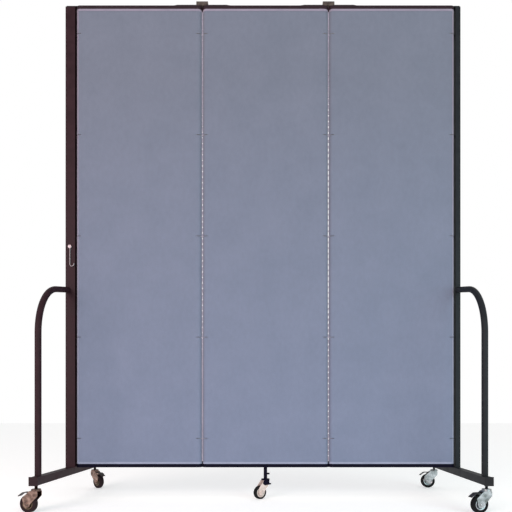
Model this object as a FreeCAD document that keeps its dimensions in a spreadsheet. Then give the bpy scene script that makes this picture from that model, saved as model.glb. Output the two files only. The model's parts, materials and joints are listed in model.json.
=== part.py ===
import FreeCAD, Part
import math
import os
import Sketcher

# A rolling partition: three fabric panels between two end frames on casters.
# The panels are hinged to each other by links that turn on a rod in each panel's rounded edge,
# so each seam folds flat both ways. Each end frame is hinged to its panel on the same kind of rod.
# +X runs along the partition, the front faces -Y, and the floor is at z = 0.

doc = FreeCAD.newDocument("rolling_partition")
sheet = doc.addObject("Spreadsheet::Sheet", "sizes")

# Driving sizes, in millimetres and degrees
DRIVING = {
    # panels
    "panel_pitch": 572.0,
    "panel_height": 2085.2,
    "panel_thickness": 32.0,
    "floor_to_panel": 142.5,
    "seam_gap": 7.0,
    "skin_thickness": 2.5,
    "batten_height": 40.0,
    "rail_height": 15.0,
    "rail_wall": 1.2,
    "rail_web": 2.0,
    "rail_play": 0.3,
    "overrun": 1.0,
    # rods, links and hinge blocks at the seams
    "rod_radius": 3.2,
    "rod_seat": 0.1,
    "running_clearance": 0.05,
    "first_link_height": 131.0,
    "last_link_drop": 125.4,
    "link_thickness": 2.0,
    "link_half_width": 5.4,
    "slot_play": 0.3,
    "strip_play": 0.7,
    "strip_depth": 8.0,
    "strip_wall": 0.9,
    "rung_height": 4.0,
    "hinge_plate_length": 112.0,
    "hinge_plate_width": 26.0,
    "hinge_plate_thickness": 3.5,
    "block_length": 53.0,
    "block_width": 26.0,
    "block_height": 20.0,
    "block_cap": 5.0,
    "block_rounding": 4.0,
    "block_lift": 0.3,
    # end frames
    "left_frame_reach": 51.5,
    "right_frame_reach": 30.5,
    "upright_width": 20.0,
    "upright_depth": 45.0,
    "upright_drop": 9.0,
    "tube_wall": 2.0,
    "lug_half_width": 5.4,
    "flange_thickness": 2.0,
    "flange_play": 1.2,
    "bar_size": 31.75,
    "bar_length": 724.0,
    "floor_to_bar": 109.0,
    "cap_thickness": 5.0,
    "cap_lip": 1.6,
    "plug_length": 14.0,
    "top_cap_thickness": 2.5,
    "loop_radius": 12.7,
    "loop_inset": 39.0,
    "loop_top": 944.0,
    "loop_bend": 215.0,
    "loop_drop": 28.0,
    "loop_run_in": 4.0,
    # latch
    "latch_above_loop": 192.0,
    "latch_offset": 11.0,
    "latch_wire": 2.6,
    "latch_length": 72.0,
    "latch_bend": 9.0,
    "latch_screw_radius": 3.6,
    "latch_head_radius": 7.0,
    "latch_head_thickness": 3.0,
    "latch_side_play": 0.4,
    # end casters
    "stem_inset": 22.0,
    "stem_radius": 6.0,
    "stem_entry": 24.0,
    "caster_trail": 32.0,
    "wheel_radius": 35.0,
    "tyre_width": 22.0,
    "tyre_depth": 8.0,
    "tyre_crown": 3.0,
    "hub_web": 12.0,
    "hub_rim": 4.0,
    "hub_boss": 9.0,
    "axle_radius": 4.0,
    "axle_head": 4.0,
    "fork_inner": 25.0,
    "fork_leg": 2.5,
    "fork_foot": 14.0,
    "fork_hood_reach": 53.0,
    "fork_hood_height": 58.0,
    "fork_rounding": 6.0,
    "fork_head_back": 15.0,
    "fork_head_front": 19.0,
    "fork_head_depth": 20.0,
    "fork_top": 87.0,
    "fork_plate": 3.0,
    "raceway_radius": 19.0,
    "raceway_height": 7.0,
    "pedal_pivot_x": 16.0,
    "pedal_pivot_z": 80.4,
    "pedal_barrel": 3.4,
    "pedal_pin": 2.2,
    "pedal_thickness": 2.5,
    "pedal_side_play": 1.0,
    "pedal_knee": 52.0,
    "pedal_tip": 74.0,
    "pedal_tip_drop": 16.0,
    "front_left_trail": 168.0,
    "front_right_trail": 194.0,
    "rear_left_trail": -38.0,
    "rear_right_trail": 175.0,
    # self-levelling caster under the middle panel
    "sleeve_radius": 11.0,
    "sleeve_height": 150.0,
    "sleeve_cap": 4.0,
    "plunger_radius": 8.0,
    "plunger_entry": 70.0,
    "spring_radius": 7.4,
    "spring_wire": 2.2,
    "flange_radius": 19.0,
    "flange_height": 5.0,
    "middle_fork_top": 84.0,
    "middle_wheel_radius": 30.0,
    "middle_tyre_width": 20.0,
    "middle_tyre_depth": 6.0,
    "middle_trail": 30.0,
    "middle_fork_inner": 23.0,
    "middle_fork_foot": 12.0,
    "middle_hood_reach": 44.0,
    "middle_hood_height": 48.0,
    "middle_head_back": 12.0,
    "middle_head_front": 16.0,
    "middle_head_depth": 18.0,
    "kingpin_radius": 4.0,
    "kingpin_entry": 16.0,
    "stop_pin_height": 112.5,
    "stop_pin_radius": 4.0,
    "stop_pin_length": 11.0,
    "middle_trail_angle": 215.0,
}
LINK_COUNT = 5
WINDOWS_PER_LINK = 18
WINDOW_COUNT = 80
WINDOWS_BELOW = 4
BATTEN_COUNT = 5


class Size:
    """A number that also carries the spreadsheet expression it comes from."""

    def __init__(self, value, text):
        self.value = value
        self.text = text

    def join(self, other, sign, value):
        text = other.text if isinstance(other, Size) else repr(other)
        return Size(value, f"({self.text} {sign} {text})")

    def __add__(self, other):
        return self.join(other, "+", self.value + number(other))

    def __sub__(self, other):
        return self.join(other, "-", self.value - number(other))

    def __mul__(self, other):
        return self.join(other, "*", self.value * number(other))

    def __truediv__(self, other):
        return self.join(other, "/", self.value / number(other))

    def __neg__(self):
        return Size(-self.value, f"(0 - {self.text})")


def number(item):
    return item.value if isinstance(item, Size) else item


class Sizes:
    """The sheet's cells by their aliases."""


size = Sizes()
for row, (name, value) in enumerate(DRIVING.items(), start=1):
    sheet.set(f"A{row}", name)
    sheet.set(f"B{row}", str(value))
    sheet.setAlias(f"B{row}", name)
    setattr(size, name, Size(value, f"sizes.{name}"))
doc.recompute()

# Sizes that follow from the driving ones
half_thickness = size.panel_thickness / 2
pin_spacing = size.panel_thickness + size.seam_gap
pin_x = (size.panel_pitch - pin_spacing) / 2
stile_depth = half_thickness
skin_x = pin_x - stile_depth
rail_radius = half_thickness + size.rail_play + size.rail_wall
cavity_radius = half_thickness + size.rail_play
stile_height = size.panel_height - size.rail_web * 2
panel_top = size.floor_to_panel + size.panel_height
seam_x = size.panel_pitch / 2
end_pin_x = size.panel_pitch + pin_x
left_frame_x = end_pin_x + size.left_frame_reach
right_frame_x = end_pin_x + size.right_frame_reach
bar_top = size.floor_to_bar + size.bar_size
upright_top = panel_top - size.upright_drop
rod_hole = size.rod_radius + size.running_clearance
latch_eye = size.latch_screw_radius + size.running_clearance + size.latch_wire
slot_height = size.link_thickness + size.slot_play * 2
link_pitch = (size.panel_height - size.first_link_height - size.last_link_drop) / (LINK_COUNT - 1)
window_pitch = link_pitch / WINDOWS_PER_LINK
stem_reach = size.bar_length / 2 - size.stem_inset
loop_reach = size.bar_length / 2 - size.loop_inset
latch_height = size.loop_top + size.latch_above_loop

# The origin is under the middle of the whole object, wheels included
left_reach = left_frame_x + size.caster_trail + size.wheel_radius
right_reach = right_frame_x + size.bar_size / 2
centre_shift = (left_reach - right_reach) / 2

nodes = []


def bind(thing, name, value):
    """Binds one property of an object to its expression."""
    if isinstance(value, Size):
        thing.setExpression(name, value.text)
    else:
        setattr(thing, name, value)


def place(thing, x=0, y=0, z=0, turn=None):
    """Puts a finished piece at its place along the partition, turned about its own Z axis."""
    bind_place(thing, centre_shift + x, y, z)
    if turn is not None:
        angle = turn if isinstance(turn, Size) else Size(turn, repr(turn))
        thing.setExpression("Placement.Rotation.Angle", angle.text)
    nodes.append(thing)


def bind_place(thing, x=0, y=0, z=0):
    for axis, value in (("x", x), ("y", y), ("z", z)):
        if isinstance(value, Size):
            thing.setExpression(f"Placement.Base.{axis}", value.text)


def new_body(label):
    return doc.addObject("PartDesign::Body", label)


def origin_part(body, role):
    return next(f for f in body.Origin.OriginFeatures if f.Role == role)


def sketch_on(body, role, lift=0):
    """A sketch on one of the body's own planes, lifted along that plane's normal."""
    sketch = body.newObject("Sketcher::SketchObject", "sketch")
    sketch.AttachmentSupport = (origin_part(body, role), [""])
    sketch.MapMode = "FlatFace"
    if isinstance(lift, Size):
        sketch.setExpression("AttachmentOffset.Base.z", lift.text)
        sketch.AttachmentOffset.Base.z = lift.value
    return sketch


def hold(sketch, geometry, spot, x=None, y=None):
    """Fixes one point of the sketch at bound coordinates."""
    for kind, value, axis in (("DistanceX", x, -2), ("DistanceY", y, -1)):
        if value is None:
            continue
        if isinstance(value, Size):
            item = Sketcher.Constraint(kind, -1, 1, geometry, spot, value.value)
            index = sketch.addConstraint(item)
            sketch.setExpression(f"Constraints[{index}]", value.text)
        else:
            sketch.addConstraint(Sketcher.Constraint("PointOnObject", geometry, spot, axis))


def outline(sketch, points, arcs=None):
    """A closed outline. arcs gives, for an edge's number, the coordinate that fixes its centre."""
    arcs = arcs or {}
    spots = [FreeCAD.Vector(number(x), number(y), 0) for x, y in points]
    first = sketch.GeometryCount
    count = len(spots)
    for i, start in enumerate(spots):
        end = spots[(i + 1) % count]
        if i in arcs:
            axis, value = arcs[i]
            middle = (start + end) / 2
            setattr(middle, axis, number(value))
            begin, finish = start - middle, end - middle
            angles = [FreeCAD.Vector(1, 0, 0).getAngle(v) for v in (begin, finish)]
            turns = [a if v.y >= 0 else -a for a, v in zip(angles, (begin, finish))]
            circle = Part.Circle(middle, FreeCAD.Vector(0, 0, 1), begin.Length)
            sketch.addGeometry(Part.ArcOfCircle(circle, turns[0], turns[1]), False)
        else:
            sketch.addGeometry(Part.LineSegment(start, end), False)
    for i in range(count):
        link = Sketcher.Constraint("Coincident", first + i, 2, first + (i + 1) % count, 1)
        sketch.addConstraint(link)
    for i, (x, y) in enumerate(points):
        hold(sketch, first + i, 1, x, y)
    for i, (axis, value) in arcs.items():
        hold(sketch, first + i, 3, **{axis: value})


def rectangle(sketch, x0, x1, y0, y1):
    outline(sketch, [(x0, y0), (x1, y0), (x1, y1), (x0, y1)])


def stadium(sketch, x0, x1, radius):
    """A straight slot shape along X with round ends about (x0, 0) and (x1, 0)."""
    points = [(x0, -radius), (x1, -radius), (x1, radius), (x0, radius)]
    outline(sketch, points, {1: ("x", x1), 3: ("x", x0)})


def circle(sketch, x, y, radius):
    middle = FreeCAD.Vector(number(x), number(y), 0)
    ring = Part.Circle(middle, FreeCAD.Vector(0, 0, 1), radius.value)
    geometry = sketch.addGeometry(ring, False)
    hold(sketch, geometry, 3, x, y)
    index = sketch.addConstraint(Sketcher.Constraint("Radius", geometry, radius.value))
    sketch.setExpression(f"Constraints[{index}]", radius.text)


def pad(body, sketch, length, symmetric=False):
    feature = body.newObject("PartDesign::Pad", "pad")
    feature.Profile = sketch
    bind(feature, "Length", length)
    feature.SideType = "Symmetric" if symmetric else "One side"
    return feature


def pocket(body, sketch, length=None, symmetric=True, back=False):
    """A cut, right through both ways unless a length is given."""
    feature = body.newObject("PartDesign::Pocket", "pocket")
    feature.Profile = sketch
    feature.SideType = "Symmetric" if symmetric else "One side"
    if length is None:
        feature.Type = "ThroughAll"
    else:
        bind(feature, "Length", length)
    feature.Reversed = back
    return feature


def repeat_up(body, features, spacing, count):
    """Repeats features up the body's Z axis."""
    pattern = body.newObject("PartDesign::LinearPattern", "pattern")
    pattern.Originals = features
    pattern.Direction = (origin_part(body, "Z_Axis"), [""])
    pattern.Mode = "Spacing"
    bind(pattern, "Offset", spacing)
    pattern.Occurrences = count
    body.Tip = pattern
    return pattern


def mirror(body, features, role):
    """Mirrors features in one of the body's planes, or the whole body if none is named."""
    feature = body.newObject("PartDesign::Mirrored", "mirror")
    if features:
        feature.Originals = features
    else:
        feature.TransformMode = "Whole shape"
    feature.MirrorPlane = (origin_part(body, role), [""])
    body.Tip = feature
    return feature


def fillet(body, base, radius, wanted):
    """Rounds the edges of the base feature that pass the test."""
    doc.recompute()
    edges = enumerate(base.Shape.Edges, start=1)
    chosen = [f"Edge{i}" for i, edge in edges if wanted(edge)]
    feature = body.newObject("PartDesign::Fillet", "fillet")
    feature.Base = (base, chosen)
    bind(feature, "Radius", radius)
    return feature


def cylinder(label, radius, length, x=0, y=0, z=0):
    thing = doc.addObject("Part::Cylinder", label)
    bind(thing, "Radius", radius)
    bind(thing, "Height", length)
    bind_place(thing, x, y, z)
    return thing


# Panels: rounded wooden stiles, battens, fabric skins and metal rails
def stiles(label, x):
    body = new_body(label)
    profile = sketch_on(body, "XY_Plane", size.rail_web)
    points = [
        (skin_x, -half_thickness),
        (pin_x, -half_thickness),
        (pin_x, half_thickness),
        (skin_x, half_thickness),
    ]
    outline(profile, points, {1: ("x", pin_x)})
    pad(body, profile, stile_height)
    bore = sketch_on(body, "XY_Plane", size.rail_web)
    circle(bore, pin_x, 0, size.rod_radius + size.rod_seat)
    pocket(body, bore)
    slot = sketch_on(body, "XZ_Plane")
    low = size.first_link_height - slot_height / 2
    inner = pin_x - size.link_half_width - size.slot_play
    outer = pin_x + half_thickness + size.overrun
    rectangle(slot, inner, outer, low, low + slot_height)
    cut = pocket(body, slot)
    repeat_up(body, [cut], link_pitch, LINK_COUNT)
    mirror(body, None, "YZ_Plane")
    place(body, x, 0, size.floor_to_panel)


def battens(label, x, with_sleeve=False):
    body = new_body(label)
    profile = sketch_on(body, "XZ_Plane")
    rectangle(profile, -skin_x, skin_x, size.rail_web, size.rail_web + size.batten_height)
    bar = pad(body, profile, size.panel_thickness - size.skin_thickness * 2, symmetric=True)
    spacing = (stile_height - size.batten_height) / (BATTEN_COUNT - 1)
    repeat_up(body, [bar], spacing, BATTEN_COUNT)
    if with_sleeve:
        hole = sketch_on(body, "XY_Plane", size.rail_web)
        circle(hole, 0, 0, size.sleeve_radius + size.rod_seat)
        pocket(body, hole, size.batten_height, symmetric=False, back=True)
    place(body, x, 0, size.floor_to_panel)


def skins(label, x):
    body = new_body(label)
    profile = sketch_on(body, "XY_Plane", size.rail_web)
    rectangle(profile, -skin_x, skin_x, half_thickness - size.skin_thickness, half_thickness)
    sheet_pad = pad(body, profile, stile_height)
    mirror(body, [sheet_pad], "XZ_Plane")
    place(body, x, 0, size.floor_to_panel)


def top_rail(label, x):
    body = new_body(label)
    low = size.panel_height - size.rail_height
    outside = sketch_on(body, "XY_Plane", low)
    stadium(outside, -pin_x, pin_x, rail_radius)
    pad(body, outside, size.rail_height)
    inside = sketch_on(body, "XY_Plane", low)
    stadium(inside, -pin_x, pin_x, cavity_radius)
    depth = size.rail_height - size.rail_web
    pocket(body, inside, depth, symmetric=False, back=True)
    bores = sketch_on(body, "XY_Plane", low)
    for side in (-pin_x, pin_x):
        circle(bores, side, 0, size.rod_radius + size.rod_seat)
    pocket(body, bores)
    place(body, x, 0, size.floor_to_panel)


def bottom_rail(label, x, with_sleeve=False):
    body = new_body(label)
    outside = sketch_on(body, "XY_Plane")
    stadium(outside, -pin_x, pin_x, rail_radius)
    pad(body, outside, size.rail_height)
    inside = sketch_on(body, "XY_Plane", size.rail_height)
    stadium(inside, -pin_x, pin_x, cavity_radius)
    pocket(body, inside, size.rail_height - size.rail_web, symmetric=False)
    if with_sleeve:
        hole = sketch_on(body, "XY_Plane")
        circle(hole, 0, 0, size.sleeve_radius + size.rod_seat)
        pocket(body, hole)
    place(body, x, 0, size.floor_to_panel)


def rods(label, x, left_is_seam, right_is_seam):
    """Hinge rods: at a seam they run on up into the hinge block."""
    flush = size.panel_height - size.rail_web
    block_entry = size.hinge_plate_thickness + size.block_lift
    long = flush + block_entry + size.block_height - size.block_cap - size.block_lift
    pair = []
    for side, is_seam in ((-pin_x, left_is_seam), (pin_x, right_is_seam)):
        length = long if is_seam else flush
        pair.append(cylinder("rod", size.rod_radius, length, side, 0, size.rail_web))
    group = doc.addObject("Part::Compound", label)
    group.Links = pair
    place(group, x, 0, size.floor_to_panel)


def hinge_plates(label, x, both=False, turn=None):
    """Steel plates on top of the rail, each with the seam rod standing through it."""
    body = new_body(label)
    profile = sketch_on(body, "XY_Plane", size.panel_height)
    half = size.hinge_plate_width / 2
    inner = pin_x - size.hinge_plate_length
    outline(profile, [(inner, -half), (pin_x, -half), (pin_x, half), (inner, half)], {1: ("x", pin_x)})
    circle(profile, pin_x, 0, size.rod_radius + size.rod_seat)
    plate = pad(body, profile, size.hinge_plate_thickness)
    if both:
        mirror(body, [plate], "YZ_Plane")
    place(body, x, 0, size.floor_to_panel, turn)


# Seams: a block on top and links up the gap, each with a hole for both rods
def hinge_block(label, x):
    body = new_body(label)
    base = size.panel_height + size.hinge_plate_thickness + size.block_lift
    profile = sketch_on(body, "XY_Plane", base)
    half_length, half_width = size.block_length / 2, size.block_width / 2
    rectangle(profile, -half_length, half_length, -half_width, half_width)
    solid = pad(body, profile, size.block_height)
    middle = (base + size.block_height / 2).value
    fillet(body, solid, size.block_rounding, lambda edge: edge.BoundBox.ZMin > middle)
    bores = sketch_on(body, "XY_Plane", base)
    for side in (-(pin_spacing / 2), pin_spacing / 2):
        circle(bores, side, 0, rod_hole)
    depth = size.block_height - size.block_cap + size.block_lift
    pocket(body, bores, depth, symmetric=False, back=True)
    place(body, x, 0, size.floor_to_panel)


def hinge_links(label, x):
    """A strip up the whole gap, cut into rungs, with a plate for both rods at every slot."""
    body = new_body(label)
    lowest = size.first_link_height - window_pitch * WINDOWS_BELOW
    strip = sketch_on(body, "XY_Plane", lowest - size.rung_height / 2)
    half_strip, half_depth = size.seam_gap / 2 - size.strip_play, size.strip_depth / 2
    rectangle(strip, -half_strip, half_strip, -half_depth, half_depth)
    pad(body, strip, window_pitch * WINDOW_COUNT + size.rung_height)
    window = sketch_on(body, "XZ_Plane")
    inner = half_strip - size.strip_wall
    low = lowest + size.rung_height / 2
    rectangle(window, -inner, inner, low, low + window_pitch - size.rung_height)
    cut = pocket(body, window)
    repeat_up(body, [cut], window_pitch, WINDOW_COUNT)
    profile = sketch_on(body, "XY_Plane", size.first_link_height - size.link_thickness / 2)
    half = pin_spacing / 2
    stadium(profile, -half, half, size.link_half_width)
    for side in (-half, half):
        circle(profile, side, 0, rod_hole)
    link = pad(body, profile, size.link_thickness)
    repeat_up(body, [link], link_pitch, LINK_COUNT)
    place(body, x, 0, size.floor_to_panel)


# End frames, drawn with the panel towards +X
def upright(label, x, reach, turn=None):
    body = new_body(label)
    tube = sketch_on(body, "XY_Plane", bar_top)
    half_width, half_depth = size.upright_width / 2, size.upright_depth / 2
    rectangle(tube, -half_width, half_width, -half_depth, half_depth)
    inner_width, inner_depth = half_width - size.tube_wall, half_depth - size.tube_wall
    rectangle(tube, -inner_width, inner_width, -inner_depth, inner_depth)
    pad(body, tube, upright_top - size.top_cap_thickness - bar_top)
    lug = sketch_on(
        body, "XY_Plane", size.floor_to_panel + size.first_link_height - size.link_thickness / 2
    )
    half = size.lug_half_width
    outline(lug, [(half_width, -half), (reach, -half), (reach, half), (half_width, half)], {1: ("x", reach)})
    circle(lug, reach, 0, rod_hole)
    tab = pad(body, lug, size.link_thickness)
    repeat_up(body, [tab], link_pitch, LINK_COUNT)
    tip = reach - rail_radius - size.flange_play
    channel = sketch_on(body, "XY_Plane", size.floor_to_panel)
    rectangle(channel, half_width, tip, -half_depth, size.flange_thickness - half_depth)
    rectangle(channel, half_width, tip, half_depth - size.flange_thickness, half_depth)
    pad(body, channel, upright_top - size.floor_to_panel)
    place(body, x, 0, 0, turn)


def foot_bar(label, x):
    body = new_body(label)
    tube = sketch_on(body, "XZ_Plane")
    half = size.bar_size / 2
    rectangle(tube, -half, half, size.floor_to_bar, bar_top)
    inner = half - size.tube_wall
    rectangle(tube, -inner, inner, size.floor_to_bar + size.tube_wall, bar_top - size.tube_wall)
    pad(body, tube, size.bar_length, symmetric=True)
    holes = sketch_on(body, "XY_Plane", size.floor_to_bar)
    for side in (-stem_reach, stem_reach):
        circle(holes, 0, side, size.stem_radius + size.running_clearance)
    pocket(body, holes, size.tube_wall, symmetric=False, back=True)
    place(body, x)


def loop(label, x, turn=None):
    """A bent tube from the upright's face, sloping out and then down to the foot bar."""
    body = new_body(label)
    face, reach, bend = size.upright_depth / 2, loop_reach, size.loop_bend
    spine = sketch_on(body, "YZ_Plane")
    start = -(face - size.loop_run_in)
    begin = FreeCAD.Vector(start.value, size.loop_top.value, 0)
    middle = FreeCAD.Vector((bend - reach).value, (size.loop_top - bend).value, 0)
    top = middle + FreeCAD.Vector(0, bend.value, 0)
    side = middle - FreeCAD.Vector(bend.value, 0, 0)
    foot = FreeCAD.Vector(-reach.value, bar_top.value, 0)
    ring = Part.Circle(middle, FreeCAD.Vector(0, 0, 1), bend.value)
    spine.addGeometry(Part.LineSegment(begin, top), False)
    spine.addGeometry(Part.ArcOfCircle(ring, math.pi / 2, math.pi), False)
    spine.addGeometry(Part.LineSegment(side, foot), False)
    spine.addConstraint(Sketcher.Constraint("Tangent", 0, 2, 1, 1))
    spine.addConstraint(Sketcher.Constraint("Tangent", 1, 2, 2, 1))
    spine.addConstraint(Sketcher.Constraint("Vertical", 2))
    hold(spine, 0, 1, start, size.loop_top)
    hold(spine, 2, 2, -reach, bar_top)
    radius = spine.addConstraint(Sketcher.Constraint("Radius", 1, bend.value))
    spine.setExpression(f"Constraints[{radius}]", bend.text)
    hold(spine, 0, 2, None, size.loop_top - size.loop_drop)
    section = body.newObject("Sketcher::SketchObject", "sketch")
    section.AttachmentSupport = [(spine, "Vertex1"), (spine, "Edge1")]
    section.MapMode = "NormalToEdge"
    circle(section, 0, 0, size.loop_radius)
    circle(section, 0, 0, size.loop_radius - size.tube_wall)
    pipe = body.newObject("PartDesign::AdditivePipe", "pipe")
    pipe.Profile = section
    pipe.Spine = (spine, ["Edge1", "Edge2", "Edge3"])
    trim = sketch_on(body, "XZ_Plane", face)
    wide = size.loop_radius * 2
    rectangle(trim, -wide, wide, size.loop_top - wide, size.loop_top + wide)
    pocket(body, trim, size.loop_run_in * 2, symmetric=False)
    place(body, x, 0, 0, turn)


def caps(label, x):
    """Plastic caps in the ends of the foot bar and on top of the upright."""
    body = new_body(label)
    inner = size.bar_size / 2 - size.tube_wall
    low, high = size.floor_to_bar + size.tube_wall, bar_top - size.tube_wall
    mouth = size.bar_length / 2
    plug = sketch_on(body, "XZ_Plane", mouth - size.plug_length)
    rectangle(plug, -inner, inner, low, high)
    core = pad(body, plug, size.plug_length)
    outer = size.bar_size / 2 + size.cap_lip
    face = sketch_on(body, "XZ_Plane", mouth)
    rectangle(face, -outer, outer, size.floor_to_bar - size.cap_lip, bar_top + size.cap_lip)
    lip = pad(body, face, size.cap_thickness)
    mirror(body, [core, lip], "XZ_Plane")
    top = sketch_on(body, "XY_Plane", upright_top - size.top_cap_thickness)
    half_width, half_depth = size.upright_width / 2, size.upright_depth / 2
    rectangle(top, -half_width, half_width, -half_depth, half_depth)
    pad(body, top, size.top_cap_thickness)
    place(body, x)


# Latch: a wire hook that hangs on a shoulder screw, for the keeper of the next partition
def latch_screw(label):
    face = -(size.upright_depth / 2)
    shank = cylinder("shank", size.latch_screw_radius, size.latch_side_play * 2 + size.latch_wire * 2)
    head = cylinder("head", size.latch_head_radius, size.latch_head_thickness)
    bind_place(head, z=size.latch_side_play * 2 + size.latch_wire * 2)
    screw = doc.addObject("Part::Fuse", label)
    screw.Base, screw.Tool = shank, head
    place(screw, size.latch_offset - left_frame_x, face, latch_height)
    screw.Placement.Rotation = FreeCAD.Rotation(FreeCAD.Vector(1, 0, 0), 90)


def latch_hook(label):
    """Drawn flat, then stood up: the eye, the shank and the bent tip lie in one plane."""
    eye = doc.addObject("Part::Torus", "eye")
    bind(eye, "Radius1", latch_eye)
    bind(eye, "Radius2", size.latch_wire)
    shank = cylinder("shank", size.latch_wire, size.latch_length, 0, -latch_eye, 0)
    shank.Placement.Rotation = FreeCAD.Rotation(FreeCAD.Vector(1, 0, 0), 90)
    bend = doc.addObject("Part::Torus", "bend")
    bind(bend, "Radius1", size.latch_bend)
    bind(bend, "Radius2", size.latch_wire)
    bend.Angle3 = 200
    bind_place(bend, size.latch_bend, -(latch_eye + size.latch_length), 0)
    bend.Placement.Rotation = FreeCAD.Rotation(FreeCAD.Vector(0, 0, 1), 180)
    hook = doc.addObject("Part::MultiFuse", label)
    hook.Shapes = [eye, shank, bend]
    front = size.upright_depth / 2 + size.latch_side_play + size.latch_wire
    place(hook, size.latch_offset - left_frame_x, -front, latch_height)
    hook.Placement.Rotation = FreeCAD.Rotation(FreeCAD.Vector(1, 0, 0), 90)


# Casters, drawn about the stem with the wheel trailing towards +X
def fork(label, sizes, x, y, turn):
    """Two broad legs under a raceway, with the stem above and the axle across."""
    body = new_body(label)
    trail, centre, foot = sizes["trail"], sizes["wheel_radius"], sizes["foot"]
    back, front, depth, top = sizes["back"], sizes["front"], sizes["depth"], sizes["top"]
    side = sketch_on(body, "XZ_Plane")
    points = [
        (-back, top - depth),
        (trail - foot, centre),
        (trail + foot, centre),
        (sizes["hood_reach"], sizes["hood_height"]),
        (front, top),
        (-back, top),
    ]
    outline(side, points, {1: ("y", centre)})
    inner = sizes["inner"]
    solid = pad(body, side, inner + size.fork_leg * 2, symmetric=True)
    across, axle_height = inner.value, centre.value

    def is_corner(edge):
        return edge.BoundBox.YLength > across and edge.BoundBox.ZMin > axle_height

    fillet(body, solid, size.fork_rounding, is_corner)
    gap = sketch_on(body, "XZ_Plane")
    low = centre - foot - size.overrun
    far = sizes["hood_reach"] + foot
    rectangle(gap, -(back + size.overrun), far, low, top - size.fork_plate)
    pocket(body, gap, inner)
    head = sketch_on(body, "XY_Plane", top)
    circle(head, 0, 0, sizes["raceway"])
    pad(body, head, sizes["raceway_height"])
    stem = sketch_on(body, "XY_Plane", top)
    circle(stem, 0, 0, sizes["stem"])
    pad(body, stem, sizes["stem_top"] - top)
    axle = sketch_on(body, "XZ_Plane")
    circle(axle, trail, centre, size.axle_radius)
    pad(body, axle, inner + (size.fork_leg + size.axle_head) * 2, symmetric=True)
    if sizes["has_pedal"]:
        pin = sketch_on(body, "XZ_Plane")
        circle(pin, size.pedal_pivot_x, size.pedal_pivot_z, size.pedal_pin)
        pad(body, pin, inner + size.fork_leg * 2, symmetric=True)
    place(body, x, y, 0, turn)


def hub(label, trail, centre, rim, width, x, y, turn):
    """A moulded wheel: a rim and a boss joined by a thin web."""
    body = new_body(label)
    for radius, hole, across in (
        (rim, rim - size.hub_rim, width),
        (rim - size.hub_rim, size.hub_boss, size.hub_web),
        (size.hub_boss, size.axle_radius + size.running_clearance, width),
    ):
        ring = sketch_on(body, "XZ_Plane")
        circle(ring, trail, centre, radius)
        circle(ring, trail, centre, hole)
        pad(body, ring, across, symmetric=True)
    place(body, x, y, 0, turn)


def tyre(label, trail, centre, depth, width, x, y, turn):
    """The tread is turned, with its two shoulders cut away at a slant."""
    body = new_body(label)
    section = sketch_on(body, "YZ_Plane", trail)
    half = width / 2
    shoulder = half - size.tyre_crown
    points = [
        (-half, centre + centre - depth),
        (half, centre + centre - depth),
        (half, centre * 2 - size.tyre_crown),
        (shoulder, centre * 2),
        (-shoulder, centre * 2),
        (-half, centre * 2 - size.tyre_crown),
    ]
    outline(section, points)
    axis = Part.LineSegment(
        FreeCAD.Vector(-half.value, centre.value, 0), FreeCAD.Vector(half.value, centre.value, 0)
    )
    line = section.addGeometry(axis, True)
    hold(section, line, 1, -half, centre)
    hold(section, line, 2, half, centre)
    turned = body.newObject("PartDesign::Revolution", "turned")
    turned.Profile = section
    turned.ReferenceAxis = (section, ["Axis0"])
    turned.Angle = 360
    place(body, x, y, 0, turn)


def pedal(label, x, y, turn):
    """The brake lever: a plate from a barrel between the legs, out over the back of the wheel."""
    body = new_body(label)
    side = sketch_on(body, "XZ_Plane")
    low = size.pedal_pivot_z - size.pedal_thickness
    drop = size.pedal_tip_drop
    points = [
        (size.pedal_pivot_x, low),
        (size.pedal_knee, low),
        (size.pedal_tip, low - drop),
        (size.pedal_tip, low - drop + size.pedal_thickness),
        (size.pedal_knee, low + size.pedal_thickness),
        (size.pedal_pivot_x, low + size.pedal_thickness),
    ]
    outline(side, points)
    width = size.fork_inner - size.pedal_side_play * 2
    pad(body, side, width, symmetric=True)
    barrel = sketch_on(body, "XZ_Plane")
    circle(barrel, size.pedal_pivot_x, size.pedal_pivot_z, size.pedal_barrel)
    pad(body, barrel, width, symmetric=True)
    bore = sketch_on(body, "XZ_Plane")
    circle(bore, size.pedal_pivot_x, size.pedal_pivot_z, size.pedal_pin + size.running_clearance)
    pocket(body, bore)
    place(body, x, y, 0, turn)


def caster(place_name, frame_x, y, turn):
    sizes = {
        "trail": size.caster_trail,
        "wheel_radius": size.wheel_radius,
        "foot": size.fork_foot,
        "hood_reach": size.fork_hood_reach,
        "hood_height": size.fork_hood_height,
        "back": size.fork_head_back,
        "front": size.fork_head_front,
        "depth": size.fork_head_depth,
        "top": size.fork_top,
        "inner": size.fork_inner,
        "raceway": size.raceway_radius,
        "raceway_height": size.raceway_height,
        "stem": size.stem_radius,
        "stem_top": size.floor_to_bar + size.stem_entry,
        "has_pedal": True,
    }
    fork(f"{place_name}_fork", sizes, frame_x, y, turn)
    rim = size.wheel_radius - size.tyre_depth
    trail, centre = size.caster_trail, size.wheel_radius
    hub(f"{place_name}_wheel", trail, centre, rim, size.tyre_width, frame_x, y, turn)
    tyre(f"{place_name}_tyre", trail, centre, size.tyre_depth, size.tyre_width, frame_x, y, turn)
    pedal(f"{place_name}_brake_pedal", frame_x, y, turn)


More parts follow.
